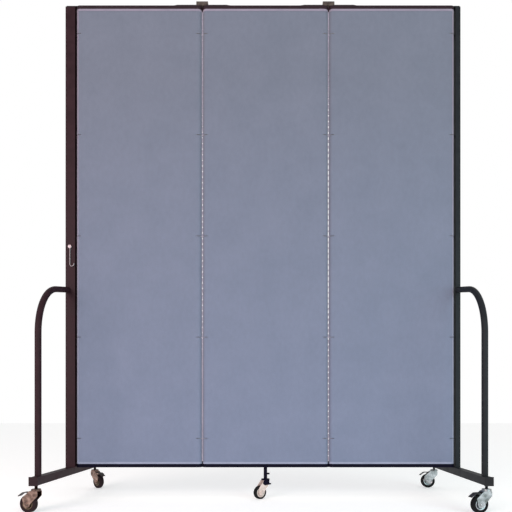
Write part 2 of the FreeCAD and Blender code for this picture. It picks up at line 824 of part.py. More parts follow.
# Self-levelling caster: a sprung plunger in a sleeve inside the middle panel
def leveller():
    sleeve = new_body("leveller_sleeve")
    outside = sketch_on(sleeve, "XY_Plane", size.floor_to_panel)
    circle(outside, 0, 0, size.sleeve_radius)
    pad(sleeve, outside, size.sleeve_height)
    bore = sketch_on(sleeve, "XY_Plane", size.floor_to_panel)
    circle(bore, 0, 0, size.plunger_radius + size.running_clearance)
    depth = size.sleeve_height - size.sleeve_cap
    pocket(sleeve, bore, depth, symmetric=False, back=True)
    place(sleeve)

    spring = new_body("leveller_spring")
    start = size.floor_to_panel + size.plunger_entry
    coil = sketch_on(spring, "XY_Plane", start)
    circle(coil, 0, 0, size.spring_radius)
    circle(coil, 0, 0, size.spring_radius - size.spring_wire)
    pad(spring, coil, depth - size.plunger_entry)
    place(spring)

    plunger = new_body("leveller_plunger")
    flange_low = size.middle_fork_top + size.block_lift
    rod = sketch_on(plunger, "XY_Plane", flange_low)
    circle(rod, 0, 0, size.plunger_radius)
    pad(plunger, rod, start - flange_low)
    flange = sketch_on(plunger, "XY_Plane", flange_low)
    circle(flange, 0, 0, size.flange_radius)
    pad(plunger, flange, size.flange_height)
    stop = sketch_on(plunger, "YZ_Plane")
    circle(stop, 0, size.stop_pin_height, size.stop_pin_radius)
    pad(plunger, stop, size.plunger_radius + size.stop_pin_length)
    socket = sketch_on(plunger, "XY_Plane", flange_low)
    circle(socket, 0, 0, size.kingpin_radius + size.running_clearance)
    socket_depth = size.kingpin_entry + size.block_lift
    pocket(plunger, socket, socket_depth, symmetric=False, back=True)
    place(plunger)

    turn = size.middle_trail_angle
    sizes = {
        "trail": size.middle_trail,
        "wheel_radius": size.middle_wheel_radius,
        "foot": size.middle_fork_foot,
        "hood_reach": size.middle_hood_reach,
        "hood_height": size.middle_hood_height,
        "back": size.middle_head_back,
        "front": size.middle_head_front,
        "depth": size.middle_head_depth,
        "top": size.middle_fork_top,
        "inner": size.middle_fork_inner,
        "raceway": size.kingpin_radius,
        "raceway_height": size.block_lift,
        "stem": size.kingpin_radius,
        "stem_top": size.middle_fork_top + size.kingpin_entry,
        "has_pedal": False,
    }
    fork("middle_fork", sizes, 0, 0, turn)
    trail, centre = size.middle_trail, size.middle_wheel_radius
    rim = centre - size.middle_tyre_depth
    hub("middle_wheel", trail, centre, rim, size.middle_tyre_width, 0, 0, turn)
    tyre("middle_tyre", trail, centre, size.middle_tyre_depth, size.middle_tyre_width, 0, 0, turn)


for panel, x, left_is_seam, right_is_seam in (
    ("left", -size.panel_pitch, False, True),
    ("middle", 0, True, True),
    ("right", size.panel_pitch, True, False),
):
    has_sleeve = panel == "middle"
    stiles(f"{panel}_stiles", x)
    battens(f"{panel}_battens", x, has_sleeve)
    skins(f"{panel}_fabric", x)
    top_rail(f"{panel}_top_rail", x)
    bottom_rail(f"{panel}_bottom_rail", x, has_sleeve)
    rods(f"{panel}_hinge_rods", x, left_is_seam, right_is_seam)
    turned = 180 if panel == "right" else None
    hinge_plates(f"{panel}_hinge_plates", x, has_sleeve, turned)

for seam, x in (("left", -seam_x), ("right", seam_x)):
    hinge_block(f"{seam}_hinge_block", x)
    hinge_links(f"{seam}_hinge_links", x)

for end, x, reach, turned in (
    ("left", -left_frame_x, size.left_frame_reach, None),
    ("right", right_frame_x, size.right_frame_reach, 180),
):
    upright(f"{end}_upright", x, reach, turned)
    foot_bar(f"{end}_foot_bar", x)
    loop(f"{end}_front_loop", x)
    loop(f"{end}_rear_loop", x, 180)
    caps(f"{end}_end_caps", x)

latch_screw("latch_screw")
latch_hook("latch_hook")

for corner, x, y, turn in (
    ("front_left", -left_frame_x, -stem_reach, size.front_left_trail),
    ("rear_left", -left_frame_x, stem_reach, size.rear_left_trail),
    ("front_right", right_frame_x, -stem_reach, size.front_right_trail),
    ("rear_right", right_frame_x, stem_reach, size.rear_right_trail),
):
    caster(corner, x, y, turn)
leveller()

doc.recompute()
failed = [o.Label for o in doc.Objects if "Invalid" in o.State or "Error" in o.State]
if failed:
    raise SystemExit(f"these objects failed: {failed}")
for node in nodes:
    if node.Shape.isNull() or not node.Shape.isValid() or not node.Shape.Solids:
        raise SystemExit(f"{node.Label} has no valid solid")

os.makedirs("parts", exist_ok=True)
for node in nodes:
    node.Shape.exportStep(f"parts/{node.Label}.step")
    solids = len(node.Shape.Solids)
    print(f"{node.Label}: {solids} solids, {node.Shape.Volume / 1000:.1f} cm3")
print(f"{len(nodes)} nodes")
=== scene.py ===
import bpy
import bmesh
import json
import math
from mathutils import Matrix, Vector


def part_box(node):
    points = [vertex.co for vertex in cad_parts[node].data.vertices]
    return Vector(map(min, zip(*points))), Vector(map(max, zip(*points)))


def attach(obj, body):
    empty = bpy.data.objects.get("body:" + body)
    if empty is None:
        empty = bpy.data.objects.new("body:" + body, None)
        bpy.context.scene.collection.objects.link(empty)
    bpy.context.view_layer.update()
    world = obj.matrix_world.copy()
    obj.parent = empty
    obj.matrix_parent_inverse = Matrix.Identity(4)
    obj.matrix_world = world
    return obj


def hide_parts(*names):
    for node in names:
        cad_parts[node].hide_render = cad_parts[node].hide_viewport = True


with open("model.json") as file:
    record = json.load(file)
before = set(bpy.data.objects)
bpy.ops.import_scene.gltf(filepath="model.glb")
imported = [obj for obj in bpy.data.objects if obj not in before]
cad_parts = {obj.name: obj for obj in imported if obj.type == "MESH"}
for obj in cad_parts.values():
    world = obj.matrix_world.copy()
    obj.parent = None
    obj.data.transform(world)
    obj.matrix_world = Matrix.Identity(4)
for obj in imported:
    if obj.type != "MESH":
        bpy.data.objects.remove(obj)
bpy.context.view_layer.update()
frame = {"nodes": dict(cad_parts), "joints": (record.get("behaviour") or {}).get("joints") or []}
nodes = frame["nodes"]
joints = {joint["name"]: joint for joint in frame["joints"]}

# Wooden edge posts and battens of the three panels.
# Each panel is a softwood frame: two rounded posts bored for the hinge rods, and battens glued
# between them. All of it is covered, so timber shows only in the slots for the hinge links.


def start_material(name):
    """A material with its node tree, shader and texture coordinates."""
    material = bpy.data.materials.new(name)
    material.use_nodes = True
    tree = material.node_tree
    shader = tree.nodes["Principled BSDF"]
    coordinates = tree.nodes.new("ShaderNodeTexCoord")
    return material, tree, shader, coordinates


def start_group(name, inputs, outputs, family="ShaderNodeTree"):
    """A node group with named inputs and outputs."""
    group = bpy.data.node_groups.new(name, family)
    for label, kind, value in inputs:
        socket = group.interface.new_socket(label, in_out="INPUT", socket_type=f"NodeSocket{kind}")
        if value is not None:
            socket.default_value = value
    for label, kind in outputs:
        group.interface.new_socket(label, in_out="OUTPUT", socket_type=f"NodeSocket{kind}")
    return group, group.nodes.new("NodeGroupInput"), group.nodes.new("NodeGroupOutput")


def add_node(tree, kind, **settings):
    """A new shader node with its settings."""
    node = tree.nodes.new(f"ShaderNode{kind}")
    for name, value in settings.items():
        setattr(node, name, value)
    return node


def set_inputs(node, **values):
    """Sets a node's inputs by their names, written with _ for a space."""
    for name, value in values.items():
        node.inputs[name.replace("_", " ")].default_value = value


def wire(tree, *links):
    """Joins nodes, each link written as (node, output, next node, input)."""
    for node, output, after, entry in links:
        tree.links.new(node.outputs[output], after.inputs[entry])


def place_group(tree, group, **values):
    """Puts a shared group in a material, with its own values for the named inputs."""
    node = tree.nodes.new("ShaderNodeGroup")
    node.node_tree = group
    set_inputs(node, **values)
    return node


def mottle_group():
    """Blends two colours in soft patches, with a finer speckle over them."""
    group, given, result = start_group(
        "Mottle",
        [
            ("Place", "Vector", None),
            ("Patch Scale", "Float", 6.0),
            ("Speckle Scale", "Float", 400.0),
            ("Colour", "Color", (0.5, 0.5, 0.5, 1)),
            ("Other Colour", "Color", (0.4, 0.4, 0.4, 1)),
            ("Smooth", "Float", 0.4),
            ("Rough", "Float", 0.6),
        ],
        [("Colour", "Color"), ("Roughness", "Float"), ("Height", "Float")],
    )
    patches = add_node(group, "TexNoise")
    set_inputs(patches, Detail=4)
    speckle = add_node(group, "TexNoise")
    set_inputs(speckle, Detail=2)
    share = add_node(group, "Mix", data_type="FLOAT")
    share.inputs[0].default_value = 0.35
    spread = add_node(group, "MapRange")
    set_inputs(spread, From_Min=0.35, From_Max=0.65)
    colour = add_node(group, "Mix", data_type="RGBA")
    rough = add_node(group, "MapRange")
    wire(
        group,
        (given, "Place", patches, "Vector"),
        (given, "Patch Scale", patches, "Scale"),
        (given, "Place", speckle, "Vector"),
        (given, "Speckle Scale", speckle, "Scale"),
        (patches, "Fac", share, 2),
        (speckle, "Fac", share, 3),
        (share, 0, spread, "Value"),
        (spread, "Result", colour, 0),
        (given, "Colour", colour, 6),
        (given, "Other Colour", colour, 7),
        (spread, "Result", rough, "Value"),
        (given, "Smooth", rough, "To Min"),
        (given, "Rough", rough, "To Max"),
        (colour, 2, result, "Colour"),
        (rough, "Result", result, "Roughness"),
        (speckle, "Fac", result, "Height"),
    )
    return group


mottle = mottle_group()


def finish_bump(tree, shader, height, distance, strength=0.5):
    """Raises a material's surface by a height, over a distance in metres."""
    bump = add_node(tree, "Bump")
    set_inputs(bump, Strength=strength, Distance=distance)
    tree.links.new(height, bump.inputs["Height"])
    tree.links.new(bump.outputs["Normal"], shader.inputs["Normal"])


def timber_material():
    """Grey-stained softwood with the grain running up the post."""
    material, tree, shader, coordinates = start_material("softwood")
    stretch = add_node(tree, "Mapping")
    set_inputs(stretch, Scale=(1, 1, 0.04))
    wood = place_group(tree, mottle, Patch_Scale=90.0, Speckle_Scale=700.0, Smooth=0.55, Rough=0.75)
    set_inputs(wood, Colour=(0.36, 0.32, 0.30, 1), Other_Colour=(0.25, 0.22, 0.21, 1))
    wire(
        tree,
        (coordinates, "Object", stretch, "Vector"),
        (stretch, "Vector", wood, "Place"),
        (wood, "Colour", shader, "Base Color"),
        (wood, "Roughness", shader, "Roughness"),
    )
    finish_bump(tree, shader, wood.outputs["Height"], 0.0002)
    return material


def dress(node, material):
    """Gives a CAD piece its finish."""
    slots = nodes[node].data.materials
    slots.clear()
    slots.append(material)


timber = timber_material()
for panel in ("left", "middle", "right"):
    dress(f"{panel}_stiles", timber)
    dress(f"{panel}_battens", timber)

# Panel cloth: a woven polyester sleeve on each panel, with ribbed binding tape sewn on.
# The sleeve is stretched round both posts and over the battens, tucked into the rails, joined
# down the back and slit for the hinge links. Tape covers it under the rails and by the uprights.
cloth_thickness = 0.0005
post_radius = 0.016
slit_reach = 0.0062
slit_half_height = 0.0013
slit_count = 5
post_foot_to_slit = 0.129
slit_pitch = 0.4572
tuck = 0.0005
round_steps = 16
sleeve_rows = 30
row_clearance = 0.012


def weave_group():
    """A plain weave over a sleeve's own map, which is in metres round and up the cloth."""
    group, given, result = start_group(
        "Weave",
        [("Map", "Vector", None), ("Threads Per Metre", "Float", 900.0)],
        [("Height", "Float"), ("Shade", "Float")],
    )
    spread = add_node(group, "VectorMath", operation="SCALE")
    parts = add_node(group, "SeparateXYZ")
    wire(
        group,
        (given, "Map", spread, 0),
        (given, "Threads Per Metre", spread, "Scale"),
        (spread, "Vector", parts, "Vector"),
    )
    waves = []
    for axis in ("X", "Y"):
        turn = add_node(group, "Math", operation="MULTIPLY")
        turn.inputs[1].default_value = math.pi
        wave = add_node(group, "Math", operation="SINE")
        wire(group, (parts, axis, turn, 0), (turn, 0, wave, 0))
        waves.append(wave)
    crossing = add_node(group, "Math", operation="MULTIPLY")
    wire(group, (waves[0], 0, crossing, 0), (waves[1], 0, crossing, 1))
    height = add_node(group, "Math", operation="ABSOLUTE")
    wire(group, (crossing, 0, height, 0))
    slub = add_node(group, "TexNoise")
    set_inputs(slub, Scale=0.06, Detail=3)
    stretch = add_node(group, "VectorMath", operation="MULTIPLY")
    stretch.inputs[1].default_value = (1.0, 0.6, 1.0)
    wire(
        group,
        (spread, "Vector", stretch, 0),
        (stretch, "Vector", slub, "Vector"),
        (height, 0, result, "Height"),
        (slub, "Fac", result, "Shade"),
    )
    return group


def painted_shade_by_height_group():
    """Tints a colour by height, from the foot of a panel to its head: painted shade up the panel."""
    group, given, result = start_group(
        "Painted Shade By Height",
        [
            ("Place", "Vector", None),
            ("Colour", "Color", (0.5, 0.5, 0.5, 1)),
            ("Low Tint", "Color", (1, 1, 1, 1)),
            ("High Tint", "Color", (1, 1, 1, 1)),
        ],
        [("Colour", "Color")],
    )
    parts = add_node(group, "SeparateXYZ")
    rise = add_node(group, "MapRange")
    set_inputs(rise, From_Min=0.15, From_Max=1.9)
    tint = add_node(group, "Mix", data_type="RGBA")
    tinted = add_node(group, "Mix", data_type="RGBA", blend_type="MULTIPLY")
    tinted.inputs[0].default_value = 1
    wire(
        group,
        (given, "Place", parts, "Vector"),
        (parts, "Z", rise, "Value"),
        (rise, "Result", tint, 0),
        (given, "Low Tint", tint, 6),
        (given, "High Tint", tint, 7),
        (given, "Colour", tinted, 6),
        (tint, 2, tinted, 7),
        (tinted, 2, result, "Colour"),
    )
    return group


painted_shade_by_height = painted_shade_by_height_group()


def cloth_material():
    """Blue-grey polyester: mottled, with a soft sheen, and painted shade: darker high up, bluer low down.
    """
    material, tree, shader, coordinates = start_material("panel cloth")
    set_inputs(shader, Sheen_Weight=0.25, Sheen_Roughness=0.5, Specular_IOR_Level=0.2)
    cloth = place_group(tree, mottle, Patch_Scale=7.0, Speckle_Scale=260.0, Smooth=0.82, Rough=0.95)
    set_inputs(cloth, Colour=(0.158, 0.176, 0.236, 1), Other_Colour=(0.178, 0.194, 0.258, 1))
    weave = place_group(tree, weave_group(), Threads_Per_Metre=900.0)
    tint = place_group(tree, painted_shade_by_height)
    # Painted shade: the cloth darkens and warms towards the top of the panel and turns a little bluer low
    # down.
    set_inputs(tint, Low_Tint=(0.97, 1.01, 1.10, 1), High_Tint=(0.80, 0.79, 0.785, 1))
    shade = add_node(tree, "MapRange")
    set_inputs(shade, To_Min=0.93, To_Max=1.07)
    threads = add_node(tree, "Mix", data_type="RGBA", blend_type="MULTIPLY")
    threads.inputs[0].default_value = 1
    wire(
        tree,
        (coordinates, "Object", cloth, "Place"),
        (coordinates, "UV", weave, "Map"),
        (coordinates, "Object", tint, "Place"),
        (cloth, "Colour", tint, "Colour"),
        (weave, "Shade", shade, "Value"),
        (tint, "Colour", threads, 6),
        (shade, "Result", threads, 7),
        (threads, 2, shader, "Base Color"),
        (cloth, "Roughness", shader, "Roughness"),
    )
    finish_bump(tree, shader, weave.outputs["Height"], 0.0003, 0.6)
    return material


def sleeve_outline(reach, radius):
    """Once round the panel from the back seam: (x, y, distance along the cloth)."""
    straight = [0.0, 0.03, 0.10, 0.17, 0.22, reach - slit_reach]
    turns = [math.pi / 2 - math.pi * step / round_steps for step in range(round_steps + 1)]
    spots = [(x, radius) for x in straight]
    for angle in turns:
        spots.append((reach + radius * math.cos(angle), radius * math.sin(angle)))
    spots += [(x, -radius) for x in reversed(straight)]
    spots += [(-x, -radius) for x in straight[1:]]
    for angle in reversed(turns):
        spots.append((-reach - radius * math.cos(angle), radius * math.sin(angle)))
    spots += [(-x, radius) for x in reversed(straight)]
    along = 0.0
    outline = [(spots[0][0], spots[0][1], 0.0)]
    for before, after in zip(spots, spots[1:]):
        along += math.dist(before, after)
        outline.append((after[0], after[1], along))
    return outline


def make_object(name, mesh_data):
    """Turns a bmesh into an object at the origin."""
    mesh = bpy.data.meshes.new(name)
    mesh_data.to_mesh(mesh)
    mesh_data.free()
    piece = bpy.data.objects.new(name, mesh)
    bpy.context.scene.collection.objects.link(piece)
    return piece


def thicken(piece, thickness):
    """Thickens a sheet and keeps its cut edges from darkening the faces beside them."""
    sheet = piece.modifiers.new("thickness", "SOLIDIFY")
    sheet.thickness = thickness
    sheet.offset = 0
    even = piece.modifiers.new("even shading", "WEIGHTED_NORMAL")
    even.weight = 100


def panel_sleeve(name, centre, low, high, reach, slits):
    """The sleeve of one panel and its girth: rows of faces, left open where a slit is."""
    radius = post_radius + cloth_thickness / 2
    outline = sleeve_outline(reach, radius)
    levels = {low, high}
    for bottom, top in slits:
        levels.update((bottom, top))
    plain = [low + (high - low) * step / sleeve_rows for step in range(1, sleeve_rows)]
    clear = [z for z in plain if min(abs(z - level) for level in levels) > row_clearance]
    rows = sorted(levels.union(clear))
    cloth = bmesh.new()
    layer = cloth.loops.layers.uv.new("cloth")
    grid = [[cloth.verts.new((centre + x, y, z)) for x, y, _ in outline] for z in rows]
    for row in range(len(rows) - 1):
        bottom, top = rows[row], rows[row + 1]
        is_slit = (bottom, top) in slits
        for column in range(len(outline) - 1):
            here = (outline[column][0] + outline[column + 1][0]) / 2
            if is_slit and abs(here) > reach - slit_reach:
                continue
            corners = [(row, column + 1), (row, column), (row + 1, column), (row + 1, column + 1)]
            face = cloth.faces.new([grid[line][spot] for line, spot in corners])
            for loop, (line, spot) in zip(face.loops, corners):
                loop[layer].uv = (outline[spot][2], rows[line])
            face.smooth = True
    loose = [vert for vert in cloth.verts if not vert.link_faces]
    bmesh.ops.delete(cloth, geom=loose, context="VERTS")
    piece = make_object(name, cloth)
    thicken(piece, cloth_thickness)
    return piece, outline[-1][2]


def tape_material():
    """Pale lilac binding tape, ribbed across its width, with painted shade by height as on the cloth."""
    material, tree, shader, coordinates = start_material("binding tape")
    set_inputs(shader, Sheen_Weight=0.3, Specular_IOR_Level=0.25)
    tape = place_group(tree, mottle, Patch_Scale=20.0, Speckle_Scale=500.0, Smooth=0.7, Rough=0.9)
    set_inputs(tape, Colour=(0.215, 0.200, 0.262, 1), Other_Colour=(0.260, 0.238, 0.305, 1))
    tint = place_group(tree, painted_shade_by_height)
    # Painted shade: the tape darkens and turns pinker towards the top and bluer low down.
    set_inputs(tint, Low_Tint=(1.0, 1.17, 1.25, 1), High_Tint=(0.96, 0.885, 0.91, 1))
    ribs = add_node(tree, "TexWave")
    set_inputs(ribs, Scale=220.0, Distortion=0.4)
    wire(
        tree,
        (coordinates, "Object", tape, "Place"),
        (coordinates, "Object", ribs, "Vector"),
        (coordinates, "Object", tint, "Place"),
        (tape, "Colour", tint, "Colour"),
        (tint, "Colour", shader, "Base Color"),
        (tape, "Roughness", shader, "Roughness"),
    )
    finish_bump(tree, shader, ribs.outputs["Fac"], 0.0002)
    return material


rail_cover = 0.013
tape_width = 0.009
tape_edge = 0.0008
tape_lift = 0.0004
tape_thickness = 0.0005
tape_angles = (32, 72)
tape_steps = 6


def join_rings(mesh_data, lower, upper, smooth=False):
    """Closes the band between two rings with as many corners."""
    count = len(lower)
    for i in range(count):
        after = (i + 1) % count
        mesh_data.faces.new((lower[after], lower[i], upper[i], upper[after])).smooth = smooth


def tape_ring(mesh_data, outline, reach, centre, low):
    """A closed band round the panel, with its edges turned in."""
    high = low + tape_width
    levels = [(low, 0), (low + tape_edge, tape_lift), (high - tape_edge, tape_lift), (high, 0)]
    rings = []
    for z, out in levels:
        ring = []
        for x, y, _ in outline[:-1]:
            away = Vector((x - max(-reach, min(reach, x)), y, 0)).normalized()
            ring.append(mesh_data.verts.new((centre + x + away.x * out, y + away.y * out, z)))
        rings.append(ring)
    for lower, upper in zip(rings, rings[1:]):
        join_rings(mesh_data, lower, upper, smooth=True)


def tape_strip(mesh_data, spots, low, high):
    """An upright band through the given (x, y) spots."""
    columns = []
    for x, y in spots:
        columns.append([mesh_data.verts.new((x, y, z)) for z in (low, (low + high) / 2, high)])
    for left, right in zip(columns, columns[1:]):
        for i in range(2):
            mesh_data.faces.new((left[i], right[i], right[i + 1], left[i + 1])).smooth = True


def edge_tapes(name, panel, centre, reach, low, high, slits):
    """Binding under the rails all round, and up both faces of a panel's free edge."""
    tapes = bmesh.new()
    radius = post_radius + cloth_thickness + tape_thickness + 0.0001
    outline = sleeve_outline(reach, radius)
    lower, upper = low + rail_cover, high - rail_cover - tape_width
    for level in (lower, upper):
        tape_ring(tapes, outline, reach, centre, level)
    side = {"left": -1, "middle": 0, "right": 1}[panel]
    if side:
        levels = [lower + tape_width]
        for slit in slits:
            levels.extend(slit)
        levels.append(upper)
        first, last = tape_angles
        for face in (-1, 1):
            spots = []
            for step in range(tape_steps + 1):
                angle = math.radians(first + (last - first) * step / tape_steps)
                bulge = radius + tape_lift * math.sin(math.pi * step / tape_steps)
                x = centre + side * (reach + bulge * math.cos(angle))
                spots.append((x, face * bulge * math.sin(angle)))
            for start, stop in zip(levels[::2], levels[1::2]):
                tape_strip(tapes, spots, start, stop)
        bmesh.ops.recalc_face_normals(tapes, faces=tapes.faces)
    piece = make_object(name, tapes)
    thicken(piece, tape_thickness)
    return piece


cloth = cloth_material()
tape_cloth = tape_material()
for panel in ("left", "middle", "right"):
    low_corner, high_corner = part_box(f"{panel}_stiles")
    centre = (low_corner[0] + high_corner[0]) / 2
    reach = high_corner[0] - centre - post_radius
    slits = []
    for step in range(slit_count):
        level = low_corner[2] + post_foot_to_slit + slit_pitch * step
        slits.append((level - slit_half_height, level + slit_half_height))
    low, high = low_corner[2] + tuck, high_corner[2] - tuck
    sleeve, girth = panel_sleeve(f"{panel}_cloth", centre, low, high, reach, slits)
    sleeve.data.materials.append(cloth)
    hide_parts(f"{panel}_fabric")
    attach(sleeve, f"{panel}_panel")
    tapes = edge_tapes(f"{panel}_edge_tape", panel, centre, reach, low, high, slits)
    tapes.data.materials.append(tape_cloth)
    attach(tapes, f"{panel}_panel")

# Rails: folded steel channels that cap each panel top and bottom.
# They are painted dark brown, the bottom ones darkened to near black as painted shade, crimped over
# the cloth, and hold the ends of the hinge rods.


def paint_material(
    name, colour, other, smooth=0.35, rough=0.55, metallic=0.0, scale=30.0, gloss=0.5
):
    """Paint, plating or moulded plastic: two colours in slight patches, and fine orange peel."""
    material, tree, shader, coordinates = start_material(name)
    set_inputs(shader, Metallic=metallic, Specular_IOR_Level=gloss)
    coat = place_group(tree, mottle, Patch_Scale=scale, Speckle_Scale=900.0, Smooth=smooth, Rough=rough)
    set_inputs(coat, Colour=(*colour, 1), Other_Colour=(*other, 1))
    wire(
        tree,
        (coordinates, "Object", coat, "Place"),
        (coat, "Colour", shader, "Base Color"),
        (coat, "Roughness", shader, "Roughness"),
    )
    finish_bump(tree, shader, coat.outputs["Height"], 0.0001, 0.3)
    return material


brown_paint = paint_material(
    "brown rail paint", (0.013, 0.0055, 0.009), (0.021, 0.009, 0.014), 0.45, 0.6, gloss=0.2
)
# Painted shade: a near black copy of the rail paint, for the shaded bottom rails and other low dark
# parts.
shadow_paint = paint_material(
    "rail paint darkened as painted shade", (0.002, 0.0015, 0.008), (0.005, 0.004, 0.013), 0.5, 0.65, gloss=0.05
)
for panel in ("left", "middle", "right"):
    dress(f"{panel}_top_rail", brown_paint)
    dress(f"{panel}_bottom_rail", shadow_paint)

# Hinge rods, plates and blocks: the steel fittings that carry each seam.
# Plain steel rods stand in the posts; black plates spread the load on the rails, and a dark
# bronze block on top ties the two rods of a seam together, its pale patches painted highlight.
rod_steel = paint_material(
    "plain steel rod", (0.45, 0.45, 0.46), (0.36, 0.36, 0.37), 0.25, 0.4, metallic=1.0
)
black_paint = paint_material("black paint", (0.010, 0.008, 0.010), (0.018, 0.014, 0.016), gloss=0.3)
for panel in ("left", "middle", "right"):
    dress(f"{panel}_hinge_rods", rod_steel)
    dress(f"{panel}_hinge_plates", black_paint)
# Painted highlight: the block's mottle runs from dark bronze to a pale brown that stands for the light on
# its top.
block_paint = paint_material(
    "bronze block with painted highlight", (0.105, 0.082, 0.070), (0.022, 0.014, 0.013), 0.3, 0.5, scale=55.0, gloss=0.3
)
for seam in ("left", "right"):
    dress(f"{seam}_hinge_block", block_paint)

# Plate screws: three domed steel screws hold each plate down on its rail.
# They stand in a row on the plate's middle line, set in from its far end.
plate_length, plate_half_width = 0.112, 0.013
screw_inset, screw_pitch = 0.012, 0.030
plate_sides = {"left": (1,), "middle": (-1, 1), "right": (-1,)}


def lathe(mesh_data, profile, centre, axis, segments=48):
    """Turns (radius, along) spots about an axis; a ring profile closes on itself."""
    axis = Vector(axis).normalized()
    across = axis.orthogonal().normalized()
    beside = axis.cross(across)
    rings = []
    for radius, along in profile:
        middle = Vector(centre) + axis * along
        if radius == 0:
            rings.append([mesh_data.verts.new(middle)])
            continue
        ring = []
        for step in range(segments):
            angle = 2 * math.pi * step / segments
            spoke = across * math.cos(angle) + beside * math.sin(angle)
            ring.append(mesh_data.verts.new(middle + spoke * radius))
        rings.append(ring)
    pairs = list(zip(rings, rings[1:]))
    if len(rings[0]) > 1 and len(rings[-1]) > 1:
        pairs.append((rings[-1], rings[0]))
    for low, high in pairs:
        for step in range(segments):
            after = (step + 1) % segments
            spots = ((low, step), (low, after), (high, after), (high, step))
            corners = list(dict.fromkeys(ring[turn % len(ring)] for ring, turn in spots))
            if len(corners) > 2:
                mesh_data.faces.new(corners).smooth = True


def freeze(piece):
    """Turns a piece and its modifiers into a plain mesh."""
    bpy.context.view_layer.update()
    evaluated = piece.evaluated_get(bpy.context.evaluated_depsgraph_get())
    mesh = bpy.data.meshes.new_from_object(evaluated)
    piece.modifiers.clear()
    piece.data = mesh


def repeat_tree(name):
    """Geometry Nodes that repeat an item along a line and give every copy one finish."""
    kinds = {"Item": "Object", "Count": "Int", "Start": "Vector", "Step": "Vector", "Finish": "Material"}
    inputs = [(label, kind, None) for label, kind in kinds.items()]
    tree, given, result = start_group(name, inputs, [("Geometry", "Geometry")], "GeometryNodeTree")
    item, spots, copies, real, finish = [
        tree.nodes.new(f"GeometryNode{kind}")
        for kind in ("ObjectInfo", "MeshLine", "InstanceOnPoints", "RealizeInstances", "SetMaterial")
    ]
    wire(
        tree,
        (given, "Item", item, "Object"),
        (given, "Count", spots, "Count"),
        (given, "Start", spots, "Start Location"),
        (given, "Step", spots, "Offset"),
        (spots, "Mesh", copies, "Points"),
        (item, "Geometry", copies, "Instance"),
        (copies, "Instances", real, "Geometry"),
        (real, "Geometry", finish, "Geometry"),
        (given, "Finish", finish, "Material"),
        (finish, "Geometry", result, "Geometry"),
    )
    return tree


row_tree = repeat_tree("row of like pieces")


def row_of(name, **values):
    """Runs the repeating tree once and keeps its result as a plain mesh."""
    piece = make_object(name, bmesh.new())
    repeat = piece.modifiers.new("repeat", "NODES")
    repeat.node_group = row_tree
    for item in row_tree.interface.items_tree:
        if item.in_out == "INPUT":
            repeat[item.identifier] = values[item.name.lower()]
    freeze(piece)
    return piece


def add_block(mesh_data, half_size, spot):
    """A block of the given half sizes about a spot."""
    block = bmesh.ops.create_cube(mesh_data, size=2)["verts"]
    bmesh.ops.scale(mesh_data, vec=half_size, verts=block)
    bmesh.ops.translate(mesh_data, vec=spot, verts=block)


def cut_away(piece, tool):
    """Cuts one object out of a piece and removes it."""
    cut = piece.modifiers.new("cut", "BOOLEAN")
    cut.object = tool
    cut.solver = "EXACT"
    freeze(piece)
    bpy.data.objects.remove(tool)


def screw_head():
    """A domed screw head with a cross recess, to be set in rows."""
    side = [(0, -0.0004), (0.0040, -0.0004), (0.0040, 0.0002)]
    side += [(0.0034, 0.0009), (0.0020, 0.0013), (0, 0.0014)]
    dome = bmesh.new()
    lathe(dome, side, (0, 0, 0), (0, 0, 1), 24)
    head = make_object("screw head", dome)
    for half_size in ((0.0022, 0.0005, 0.0007), (0.0005, 0.0022, 0.0007)):
        bar_data = bmesh.new()
        add_block(bar_data, half_size, (0, 0, 0.0014))
        cut_away(head, make_object("recess", bar_data))
    return head


def plate_rod_x(panel, side):
    """Where the seam rod stands in a panel's plate, to the right (1) or the left (-1)."""
    low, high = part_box(f"{panel}_hinge_plates")
    return high[0] - plate_half_width if side > 0 else low[0] + plate_half_width


head = screw_head()
for panel, sides in plate_sides.items():
    low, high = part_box(f"{panel}_hinge_plates")
    for side in sides:
        first_x = plate_rod_x(panel, side) - side * (plate_length - screw_inset)
        screws = row_of(
            f"{panel}_plate_screws_{'right' if side > 0 else 'left'}",
            item=head,
            count=3,
            finish=black_paint,
            start=(first_x, (low[1] + high[1]) / 2, high[2]),
            step=(side * screw_pitch, 0, 0),
        )
        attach(screws, f"{panel}_panel")
bpy.data.objects.remove(head)

# Plate lips: each plate's long edges turn down on the rail.
# A lip is pressed in one with the plate, stays inside the rail's sides and tapers out at its
# far end.
lip_inner, lip_outer, lip_taper, lip_drop = 0.0128, 0.0168, 0.022, 0.0002


def plate(mesh_data, outline, near, far):
    """An upright plate with the given (x, z) outline, from y = near to y = far."""
    sides = [[mesh_data.verts.new((x, y, z)) for x, z in outline] for y in (near, far)]
    mesh_data.faces.new(sides[0])
    mesh_data.faces.new(reversed(sides[1]))
    join_rings(mesh_data, *sides)


def fixed_piece(name, mesh_data, finish, body):
    """Makes a piece with its finish, fixed on a body."""
    piece = make_object(name, mesh_data)
    piece.data.materials.append(finish)
    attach(piece, body)


for panel, sides in plate_sides.items():
    low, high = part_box(f"{panel}_hinge_plates")
    bottom, top = low[2], high[2] - lip_drop
    lip_data = bmesh.new()
    for side in sides:
        rod_x = plate_rod_x(panel, side)
        far_x = rod_x - side * plate_length
        profile = [(far_x, bottom), (far_x + side * lip_taper, top), (rod_x, top), (rod_x, bottom)]
        for face in (-1, 1):
            plate(lip_data, profile, face * lip_inner, face * lip_outer)
    bmesh.ops.recalc_face_normals(lip_data, faces=lip_data.faces)
    fixed_piece(f"{panel}_plate_lips", lip_data, black_paint, f"{panel}_panel")

